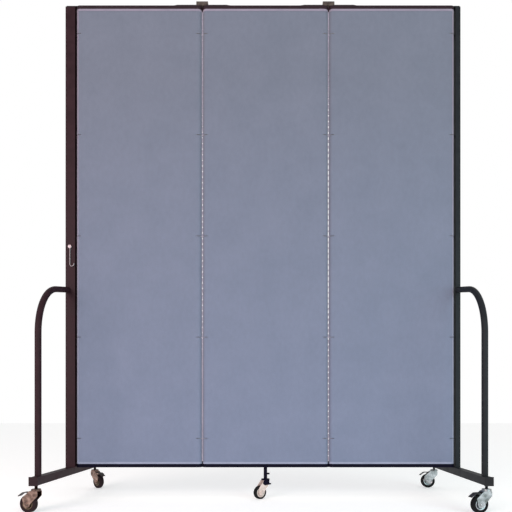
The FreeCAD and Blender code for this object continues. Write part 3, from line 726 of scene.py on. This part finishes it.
# Block plugs: two low turned plugs close each block over the rods.
# They are of the block's own metal, pressed in flush but for a shallow dome.
plug_reach = 0.014625
plug_side = [(0, -0.0005), (0.0048, -0.0005), (0.0048, 0.0002), (0.0042, 0.0007), (0, 0.0010)]
for seam in ("left", "right"):
    low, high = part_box(f"{seam}_hinge_block")
    middle_x, middle_y = (low[0] + high[0]) / 2, (low[1] + high[1]) / 2
    plug_data = bmesh.new()
    for x in (middle_x - plug_reach, middle_x + plug_reach):
        lathe(plug_data, plug_side, (x, middle_y, high[2]), (0, 0, 1), 24)
    fixed_piece(f"{seam}_block_plugs", plug_data, block_paint, f"{seam}_link")

# Seam links: a moulded strip of rungs that fills the gap between two panels.
# The strip turns on both rods, which lets the seam fold right round either way.
# Painted light: the link plastic is pale mauve, made paler still so the shaded seam reads lighter than
# the cloth.
link_plastic = paint_material(
    "pale mauve link with painted light", (0.36, 0.33, 0.41), (0.43, 0.39, 0.47), 0.5, 0.65, gloss=0.3
)
for seam in ("left", "right"):
    dress(f"{seam}_hinge_links", link_plastic)

# Seam webs and stops: thin plastic moulded across the strip's windows, and its two ends.
# The webs close more of each window near the ends of a seam, as painted shade where less daylight
# shows through. The stops carry the strip on between the rails, dark as they are, the lower ones
# in the rails' near black painted shade.
window_pitch, rung_height = 0.0254, 0.004
web_reach, web_depth, web_overlap = 0.00192, 0.0008, 0.0001
stop_depth, stop_gap = 0.004, 0.0002
# Painted shade: the open share of each window by height, less near the seam ends and set apart for each
# seam.
seam_daylight_shares = {
    "left": ((0, 0), (0.6, 0), (0.8, 0.25), (1.1, 0.4), (1.5, 0.4), (1.85, 0.1), (2.3, 0)),
    "right": ((0, 0.15), (0.3, 0.2), (0.75, 0.4), (0.9, 0.9), (1.5, 0.9), (1.8, 0.25), (2, 0), (2.3, 0)),
}


def open_share(level, table):
    """How much of a seam window is open at a height, from (height, share) spots."""
    for (low, low_share), (high, high_share) in zip(table, table[1:]):
        if level <= high:
            return low_share + (high_share - low_share) * (level - low) / (high - low)
    return table[-1][1]


panel_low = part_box("middle_bottom_rail")[0][2]
panel_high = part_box("middle_top_rail")[1][2]
for seam in ("left", "right"):
    low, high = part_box(f"{seam}_hinge_links")
    middle_x, middle_y = (low[0] + high[0]) / 2, (low[1] + high[1]) / 2
    web_data = bmesh.new()
    opening = window_pitch - rung_height
    start = low[2] + rung_height
    while start + opening < high[2]:
        half = opening * (1 - open_share(start, seam_daylight_shares[seam])) / 2
        half_size = (web_reach, web_depth, half + web_overlap)
        add_block(web_data, half_size, (middle_x, middle_y, start + half))
        start += window_pitch
    fixed_piece(f"{seam}_link_webs", web_data, link_plastic, f"{seam}_link")

    # The lower stops take the near black painted shade of the bottom rails.
    for end, bottom, top, paint in (
        ("lower", panel_low, low[2] - stop_gap, shadow_paint),
        ("upper", high[2] + stop_gap, panel_high, brown_paint),
    ):
        stop_data = bmesh.new()
        half_size = (web_reach, stop_depth, (top - bottom) / 2)
        add_block(stop_data, half_size, (middle_x, middle_y, (top + bottom) / 2))
        fixed_piece(f"{seam}_{end}_stop", stop_data, paint, f"{seam}_link")

# End frames: welded steel tube, an upright on a foot bar with a bent loop on each side.
# The tube is sprayed one dark paint, browner on the left and near black on the right as painted
# warm and cool light; the loops run from the upright's face down to the bar, whose ends are closed
# by pressed-in plastic caps, tinted the same way.
# Painted light: warm brown copies of the paint and caps for the left frame, cool near black ones for the
# right.
left_paint = paint_material(
    "dark frame paint, warm painted light", (0.018, 0.0070, 0.0095), (0.029, 0.012, 0.016), 0.42, 0.58, gloss=0.1
)
right_paint = paint_material(
    "dark frame paint, cool painted light", (0.010, 0.0115, 0.014), (0.017, 0.019, 0.022), 0.42, 0.58, gloss=0.1
)
left_cap = paint_material(
    "dark end cap, warm painted light", (0.016, 0.007, 0.009), (0.024, 0.011, 0.014), 0.5, 0.7, gloss=0.15
)
right_cap = paint_material(
    "dark end cap, cool painted light", (0.010, 0.009, 0.011), (0.016, 0.015, 0.017), 0.5, 0.7, gloss=0.15
)
for end, paint, cap in (("left", left_paint, left_cap), ("right", right_paint, right_cap)):
    for part in ("upright", "foot_bar", "front_loop", "rear_loop"):
        dress(f"{end}_{part}", paint)
    dress(f"{end}_end_caps", cap)

# Top plates: a flat plate on a short riser over each upright's top.
# It is folded from the frame's own steel and closes the gap between the upright and the rail,
# with an upstand behind it.
plate_gap, plate_thickness, riser_gap, upstand_gap = 0.0003, 0.0025, 0.0002, 0.0182


def joint_spot(name):
    """Where a joint's axis stands at rest."""
    return Vector(joints[name]["pos_m"])


for end, side, paint in (("left", 1, left_paint), ("right", -1, right_paint)):
    low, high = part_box(f"{end}_foot_bar")
    upright_x = (low[0] + high[0]) / 2
    upright_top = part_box(f"{end}_upright")[1][2]
    rod_x = joint_spot(f"{end}_frame_hinge").x
    under = panel_high + plate_gap
    upstand_x = rod_x - side * upstand_gap
    top_plate_data = bmesh.new()
    for near_x, far_x, near_y, far_y, bottom, top in (
        (upright_x - side * 0.010, rod_x + side * 0.006, -0.011, 0.0225, under, under + plate_thickness),
        (upright_x - side * 0.007, upright_x + side * 0.008, -0.008, 0.008, upright_top, under),
        (upright_x + side * 0.010, upstand_x, 0.0205, 0.0225, upright_top + riser_gap, under),
    ):
        half_size = (abs(far_x - near_x) / 2, (far_y - near_y) / 2, (top - bottom) / 2)
        spot = ((near_x + far_x) / 2, (near_y + far_y) / 2, (top + bottom) / 2)
        add_block(top_plate_data, half_size, spot)
    fixed_piece(f"{end}_top_plate", top_plate_data, paint, f"{end}_end_frame")

# Loop welds: a rippled bead round both ends of each loop.
# Each loop is welded to the bar at its foot and to the upright at its head, and painted over.
tube_radius, head_drop = 0.0127, 0.0128
bead_radius, bead_thickness, bead_sink = 0.0124, 0.0008, 0.0002
bead_ripples, ripple_height = 22, 0.16


def weld_bead(mesh_data, centre, axis):
    """A rippled ring of weld round the end of a tube."""
    axis = Vector(axis)
    across = axis.orthogonal().normalized()
    beside = axis.cross(across)
    rings = []
    for step in range(bead_ripples * 4):
        angle = 2 * math.pi * step / (bead_ripples * 4)
        out = across * math.cos(angle) + beside * math.sin(angle)
        thick = bead_thickness * (1 + ripple_height * math.sin(bead_ripples * angle))
        ring = []
        for turn in range(8):
            around = 2 * math.pi * turn / 8
            spot = Vector(centre) + out * (bead_radius + thick * math.cos(around))
            ring.append(mesh_data.verts.new(spot + axis * thick * math.sin(around)))
        rings.append(ring)
    for here, there in zip(rings, rings[1:] + rings[:1]):
        join_rings(mesh_data, there, here, smooth=True)


for end, paint in (("left", left_paint), ("right", right_paint)):
    bead_data = bmesh.new()
    for side, facing in (("front", -1), ("rear", 1)):
        low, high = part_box(f"{end}_{side}_loop")
        loop_x = (low[0] + high[0]) / 2
        outer_y, inner_y = (low[1], high[1]) if facing < 0 else (high[1], low[1])
        foot_spot = (loop_x, outer_y - facing * tube_radius, low[2] + bead_sink)
        head_spot = (loop_x, inner_y + facing * bead_sink, high[2] - head_drop)
        weld_bead(bead_data, foot_spot, (0, 0, 1))
        weld_bead(bead_data, head_spot, (0, 1, 0))
    bmesh.ops.recalc_face_normals(bead_data, faces=bead_data.faces)
    fixed_piece(f"{end}_loop_welds", bead_data, paint, f"{end}_end_frame")

# Latch: a bent wire hook that hangs on a shoulder screw on the left upright.
# Both are steel with a worn bright plate.
chrome = paint_material(
    "bright plate", (0.24, 0.22, 0.23), (0.12, 0.11, 0.12), 0.2, 0.35, metallic=1.0, scale=140.0
)
dress("latch_screw", chrome)
dress("latch_hook", chrome)

# End casters: a braked swivel caster under each end of both feet.
# A pressed steel yoke turns on a ball raceway below its stem; the wheel is moulded, with a
# rubber tyre, and a pressed pedal brakes it. The left pair is bronzed and the right pair zinc
# plated, the left finishes tinted warm and the right ones cool as painted light.


def rounded(corners, steps):
    """Rounds (x, z, radius) corners of an outline."""
    outline = []
    count = len(corners)
    for i, (x, z, radius) in enumerate(corners):
        here = Vector((x, z))
        before = Vector(corners[i - 1][:2]) - here
        after = Vector(corners[(i + 1) % count][:2]) - here
        if radius == 0:
            outline.append((x, z))
            continue
        half = before.angle(after) / 2
        cut = min(radius / math.tan(half), before.length / 2, after.length / 2)
        start, end = here + before.normalized() * cut, here + after.normalized() * cut
        for step in range(steps + 1):
            share = step / steps
            spot = start * (1 - share) ** 2 + here * 2 * share * (1 - share) + end * share**2
            outline.append((spot.x, spot.y))
    return outline


def hexagon(mesh_data, centre, across_flats, near, far):
    """A nut or bolt head about the Y axis."""
    radius = across_flats / math.sqrt(3)
    spots = []
    for step in range(6):
        angle = math.pi * step / 3
        spots.append((centre[0] + radius * math.cos(angle), centre[1] + radius * math.sin(angle)))
    plate(mesh_data, spots, near, far)


def shape_edges(piece, width):
    """Softens the sharp edges of a pressed or moulded piece and shades it smoothly."""
    bevel = piece.modifiers.new("edges", "BEVEL")
    bevel.width = width
    bevel.segments = 2
    bevel.limit_method = "ANGLE"
    bevel.angle_limit = math.radians(35)
    bevel.harden_normals = True
    for face in piece.data.polygons:
        face.use_smooth = True


def caster_matrix(stem, wheel):
    """Takes a caster drawn along +X from its stem to its place and heading."""
    heading = Vector(wheel) - Vector(stem)
    turn = Matrix.Rotation(math.atan2(heading.y, heading.x), 4, "Z")
    return Matrix.Translation((stem[0], stem[1], 0)) @ turn


def refill(piece, mesh_data):
    """Puts a bmesh in place of a piece's mesh."""
    piece.data.clear_geometry()
    mesh_data.to_mesh(piece.data)
    mesh_data.free()


leg_thickness, hood_thickness, washer_thickness, nut_flats = 0.0025, 0.003, 0.0009, 0.012
raceway_side = [(-0.001, -0.001), (0, 0.0004), (0, 0.0020), (-0.0014, 0.0026), (-0.0014, 0.0034)]
raceway_side += [(-0.0004, 0.0040), (-0.0004, 0.0056), (-0.0030, 0.0070)]


def yoke(name, side, radius, trail, inner, top, raceway):
    """The pressed fork with its raceway and axle, drawn about the stem."""
    far = inner / 2 + leg_thickness
    hood_low = top - hood_thickness
    shell = bmesh.new()
    plate(shell, rounded(side, 8), -far, far)
    piece = make_object(name, shell)
    hollow_data = bmesh.new()
    hollow_side = [(-0.08, -0.02), (0.12, -0.02), (0.12, hood_low), (-0.08, hood_low)]
    plate(hollow_data, hollow_side, -inner / 2, inner / 2)
    cut_away(piece, make_object("hollow", hollow_data))
    shape_edges(piece, 0.0008)
    freeze(piece)
    whole = bmesh.new()
    whole.from_mesh(piece.data)
    if raceway > 0:
        cups = [(raceway + out, top + rise) for out, rise in raceway_side]
        lathe(whole, [(0, top - 0.001), *cups, (0, top + 0.0070)], (0, 0, 0), (0, 0, 1))
    axle = [(0, -far - 0.002), (0.004, -far - 0.002), (0.004, far + 0.004), (0, far + 0.004)]
    lathe(whole, axle, (trail, 0, radius), (0, 1, 0), 24)
    washer = [(0.004, 0), (0.0082, 0), (0.0082, washer_thickness), (0.004, washer_thickness)]
    for y in (far, -far - washer_thickness):
        lathe(whole, washer, (trail, y, radius), (0, 1, 0), 24)
    hexagon(whole, (trail, radius), nut_flats, -far - 0.0039, -far - washer_thickness)
    hexagon(whole, (trail, radius), nut_flats, far + washer_thickness, far + 0.0037)
    refill(piece, whole)
    return piece


def wheel_hub(name, trail, radius, rim, width):
    """A moulded wheel whose sides carry dished steel thread guards."""
    half = width / 2
    whole = bmesh.new()
    side = [(0.00405, half), (0.0085, half), (0.0092, half - 0.0006), (0.0105, half - 0.0040)]
    side += [(0.0125, half - 0.0046), (rim * 0.62, half - 0.0040), (rim * 0.76, half - 0.0018)]
    side += [(rim * 0.86, half - 0.0010), (rim - 0.0012, half - 0.0012), (rim, half - 0.0022)]
    section = side + [(out, -along) for out, along in reversed(side)]
    lathe(whole, section, (trail, 0, radius), (0, 1, 0), 64)
    bmesh.ops.recalc_face_normals(whole, faces=whole.faces)
    return make_object(name, whole)


def tyre_ring(name, trail, radius, rim, width):
    """A rubber tyre with rounded shoulders, a step at the rim and a moulding line."""
    half = width / 2
    wall = rim + 0.0032
    shoulder_height, shoulder_width = radius - wall, 0.0042
    section = [(rim, -half), (rim + 0.0018, -half), (rim + 0.0024, -half + 0.0005), (wall, -half)]
    for step in range(7):
        angle = math.pi / 2 * step / 6
        out = wall + shoulder_height * math.sin(angle)
        section.append((out, -half + shoulder_width * (1 - math.cos(angle))))
    section += [(radius, -0.0006), (radius + 0.0003, 0)]
    section += [(out, -along) for out, along in reversed(section[:-1])]
    ring = bmesh.new()
    lathe(ring, section, (trail, 0, radius), (0, 1, 0), 72)
    bmesh.ops.recalc_face_normals(ring, faces=ring.faces)
    return make_object(name, ring)


def brake_pedal(name, pivot, knee, tip, width):
    """A pressed lever: a curled barrel, a flat plate, a turned-down tip with grip ridges."""
    x, z = pivot
    thick = 0.0025
    low, half = z - thick, width / 2
    ridge_count, first_ridge, ridge_step = 5, 0.28, 0.16
    whole = bmesh.new()
    corners = [(x, low, 0), (knee, low, 0.012), (tip - 0.001, low - 0.0150, 0)]
    corners += [(tip + 0.0008, low - 0.0146, 0), (tip + 0.0008, low - 0.0146 + thick, 0)]
    corners += [(knee + 0.001, low + thick, 0.014), (x, low + thick, 0)]
    plate(whole, rounded(corners, 4), -half, half)
    piece = make_object(name, whole)
    shape_edges(piece, 0.0006)
    freeze(piece)
    whole = bmesh.new()
    whole.from_mesh(piece.data)
    barrel = [(0.00225, -half), (0.0034, -half), (0.0034, half), (0.00225, half)]
    lathe(whole, barrel, (x, 0, z), (0, 1, 0), 24)
    ridge_data = bmesh.new()
    add_block(ridge_data, (0.0007, width * 0.36, 0.0005), (0, 0, 0))
    ridge = make_object("ridge", ridge_data)
    slope = Vector((tip - knee, 0, -0.0154))
    grips = row_of(
        "grips",
        item=ridge,
        count=ridge_count,
        finish=None,
        start=Vector((knee, 0, z)) + slope * first_ridge,
        step=slope * ridge_step,
    )
    whole.from_mesh(grips.data)
    for spare in (ridge, grips):
        bpy.data.objects.remove(spare)
    refill(piece, whole)
    return piece


def fit_pieces(corner, placed, rows):
    """Takes a caster's pieces to their place, with the finish, node and body of each; the slot is not
    used.
    """
    for piece, finish, slot, node, body in rows:
        piece.data.transform(placed)
        piece.data.materials.clear()
        piece.data.materials.append(finish)
        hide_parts(f"{corner}_{node}")
        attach(piece, f"{corner}_{body}")


# Painted light: the left finishes are warm brown copies and the right ones cooler, and the broad pale
# patches on the plated metals are painted reflection.
bronze = paint_material(
    "bronze plating, warm painted light", (0.42, 0.28, 0.23), (0.055, 0.035, 0.030), 0.14, 0.4, metallic=1.0, scale=60.0
)
warm_lit_lever = paint_material(
    "dark lever, warm painted light", (0.026, 0.014, 0.014), (0.012, 0.007, 0.008), 0.35, 0.5, gloss=0.3
)
zinc = paint_material(
    "zinc plate", (0.58, 0.60, 0.63), (0.11, 0.115, 0.11), 0.18, 0.38, metallic=1.0, scale=38.0
)
warm_lit_guard = paint_material(
    "thread guard, warm painted light", (0.20, 0.15, 0.10), (0.06, 0.045, 0.035), 0.22, 0.42, metallic=1.0, scale=90.0
)
cool_lit_guard = paint_material(
    "thread guard, cool painted light", (0.52, 0.50, 0.54), (0.20, 0.24, 0.24), 0.16, 0.36, metallic=1.0, scale=80.0
)
warm_lit_rubber = paint_material(
    "tyre rubber, warm painted light", (0.014, 0.007, 0.009), (0.026, 0.014, 0.016), 0.7, 0.9, gloss=0.15
)
tread = paint_material(
    "tyre rubber", (0.005, 0.005, 0.006), (0.011, 0.011, 0.012), 0.7, 0.9, gloss=0.1
)
fork_inner, fork_top, raceway_radius = 0.025, 0.087, 0.019
tyre_depth, tyre_width = 0.0115, 0.022
pedal_knee, pedal_tip, pedal_width = 0.052, 0.073, 0.023
end_yoke_side = [
    (-0.015, 0.087, 0.006),
    (-0.015, 0.067, 0.009),
    (0.018, 0.033, 0.010),
    (0.021, 0.0215, 0.012),
    (0.043, 0.0215, 0.012),
    (0.046, 0.037, 0.010),
    (0.053, 0.058, 0.008),
    (0.019, 0.087, 0.010),
]
left_finishes = (bronze, warm_lit_guard, warm_lit_rubber, warm_lit_lever)
right_finishes = (zinc, cool_lit_guard, tread, black_paint)
for corner in ("front_left", "rear_left", "front_right", "rear_right"):
    metal, moulding, rubber, lever = left_finishes if corner.endswith("left") else right_finishes
    stem_spot, wheel_spot = joint_spot(f"{corner}_swivel"), joint_spot(f"{corner}_wheel_spin")
    pedal_spot = joint_spot(f"{corner}_brake_press")
    trail = (wheel_spot.xy - stem_spot.xy).length
    radius = wheel_spot.z
    placed = caster_matrix(stem_spot, wheel_spot)
    pivot = ((pedal_spot.xy - stem_spot.xy).length, pedal_spot.z)
    rim = radius - tyre_depth
    fork = yoke(f"{corner}_yoke", end_yoke_side, radius, trail, fork_inner, fork_top, raceway_radius)
    hub = wheel_hub(f"{corner}_hub", trail, radius, rim, tyre_width)
    tyre = tyre_ring(f"{corner}_tread", trail, radius, rim, tyre_width)
    pedal = brake_pedal(f"{corner}_pedal", pivot, pedal_knee, pedal_tip, pedal_width)
    rows = (
        (fork, metal, "caster_steel", "fork", "caster"),
        (hub, moulding, "hub_plastic", "wheel", "wheel_body"),
        (tyre, rubber, "tyre", "tyre", "wheel_body"),
        (pedal, lever, "caster_steel", "brake_pedal", "brake"),
    )
    fit_pieces(corner, placed, rows)

    stem_data = bmesh.new()
    stem = [(0, 0.093), (0.006, 0.093), (0.006, 0.1085), (0.0088, 0.1085), (0.0088, 0.109)]
    stem += [(0.006, 0.109), (0.006, 0.133), (0, 0.133)]
    lathe(stem_data, stem, (stem_spot.x, stem_spot.y, 0), (0, 0, 1), 32)
    fixed_piece(f"{corner}_stem", stem_data, metal, f"{corner}_caster")

# Self-levelling caster: a sprung plunger in a sleeve, with a small twin-sided fork.
# The plunger slides in the sleeve inside the middle panel and lets the wheel follow the floor.
# Its fork has broad cream plates and the small wheel a thick black tyre.
for part in ("leveller_sleeve", "leveller_spring"):
    dress(part, rod_steel)
# The plunger is black, darkened further with the near black painted shade for the shade under the panel.
dress("leveller_plunger", shadow_paint)
cream_plate = paint_material(
    "cream plated steel", (0.80, 0.67, 0.63), (0.46, 0.36, 0.32), 0.25, 0.45, metallic=0.3, scale=60.0
)
middle_yoke_side = [
    (-0.012, 0.084, 0.004),
    (-0.012, 0.066, 0.008),
    (0.018, 0.029, 0.009),
    (0.0205, 0.0185, 0.010),
    (0.0395, 0.0185, 0.010),
    (0.042, 0.031, 0.009),
    (0.044, 0.048, 0.007),
    (0.016, 0.084, 0.009),
]
stem_spot, wheel_spot = joint_spot("middle_swivel"), joint_spot("middle_wheel_spin")
trail, radius = (wheel_spot.xy - stem_spot.xy).length, wheel_spot.z
placed = caster_matrix(stem_spot, wheel_spot)
# Saddle: two thin steel plates outside the fork, near black as painted shade for the shadow in the fork's
# opening.
saddle_data = bmesh.new()
saddle_side = [
    (-0.0125, 0.0842, 0.003),
    (-0.0125, 0.0700, 0.002),
    (-0.0215, 0.0700, 0.002),
    (-0.0215, 0.0630, 0.002),
    (-0.0105, 0.0630, 0.004),
    (0.0120, 0.0610, 0.006),
    (0.0250, 0.0700, 0.006),
    (0.0165, 0.0842, 0.004),
]
saddle_inner, saddle_outer = 0.0138, 0.0146
for near, far in ((-saddle_outer, -saddle_inner), (saddle_inner, saddle_outer)):
    plate(saddle_data, rounded(saddle_side, 5), near, far)
saddle = make_object("middle_saddle", saddle_data)
shape_edges(saddle, 0.0003)
freeze(saddle)
middle_inner, middle_top, middle_tyre_depth, middle_tyre_width = 0.023, 0.084, 0.008, 0.020
rim = radius - middle_tyre_depth
fork = yoke("middle_yoke", middle_yoke_side, radius, trail, middle_inner, middle_top, 0)
hub = wheel_hub("middle_hub", trail, radius, rim, middle_tyre_width)
tyre = tyre_ring("middle_tread", trail, radius, rim, middle_tyre_width)
rows = (
    (saddle, shadow_paint, "dark_steel", "fork", "caster"),
    (fork, cream_plate, "steel", "fork", "caster"),
    (hub, cream_plate, "hub_plastic", "wheel", "wheel_body"),
    (tyre, tread, "tyre", "tyre", "wheel_body"),
)
fit_pieces("middle", placed, rows)

# Studio: a pale floor, a pale surround and soft light from the front.
# The floor glows a little, so that it stays nearly as pale as the surround. The warm lamp stands
# at the left and the cool one at the right.
floor_data = bmesh.new()
bmesh.ops.create_grid(floor_data, x_segments=1, y_segments=1, size=14)
floor = make_object("floor", floor_data)
floor_paint, _, shader, _ = start_material("pale floor")
set_inputs(shader, Base_Color=(0.88, 0.88, 0.88, 1), Roughness=0.8)
set_inputs(shader, Emission_Color=(1.0, 1.0, 1.0, 1), Emission_Strength=0.345)
floor.data.materials.append(floor_paint)

world = bpy.data.worlds.new("studio")
world.use_nodes = True
tree = world.node_tree
surround = tree.nodes["Background"]
set_inputs(surround, Color=(1.0, 1.0, 1.0, 1))
seen, level = add_node(tree, "LightPath"), add_node(tree, "MapRange")
set_inputs(level, To_Min=0.66, To_Max=1.0)
wire(tree, (seen, "Is Camera Ray", level, "Value"), (level, "Result", surround, "Strength"))
bpy.context.scene.world = world
bpy.context.scene.view_settings.view_transform = "Standard"
lamp_aim, lamp_size = Vector((0, 0, 0.4)), 2.5
for name, place, power, colour in (
    ("key light", Vector((-2.2, -4.2, 1.7)), 124, (1.0, 0.80, 0.78)),
    ("fill light", Vector((2.8, -3.8, 1.1)), 84, (0.66, 1.0, 1.0)),
):
    lamp = bpy.data.lights.new(name, "AREA")
    lamp.size = lamp_size
    lamp.energy = power
    lamp.color = colour
    holder = bpy.data.objects.new(name, lamp)
    holder.location = place
    holder.rotation_euler = (lamp_aim - place).to_track_quat("-Z", "Y").to_euler()
    bpy.context.scene.collection.objects.link(holder)

# Camera: level and low, a little right of the middle.
# Its lens is shifted up, which frames the whole height as the photograph does.
camera_right, camera_front, camera_height = 0.03865, 2.410, 0.400
low_corner, high_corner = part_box("middle_stiles")
middle = (low_corner[0] + high_corner[0]) / 2
lens = bpy.data.cameras.new("camera")
lens.sensor_width = 36
lens.lens = 37.27
lens.shift_x = -0.035
lens.shift_y = 0.3014
camera = bpy.data.objects.new("camera", lens)
camera.location = (middle + camera_right, -camera_front, camera_height)
camera.rotation_euler = (math.pi / 2, 0, 0)
bpy.context.scene.collection.objects.link(camera)
bpy.context.scene.camera = camera
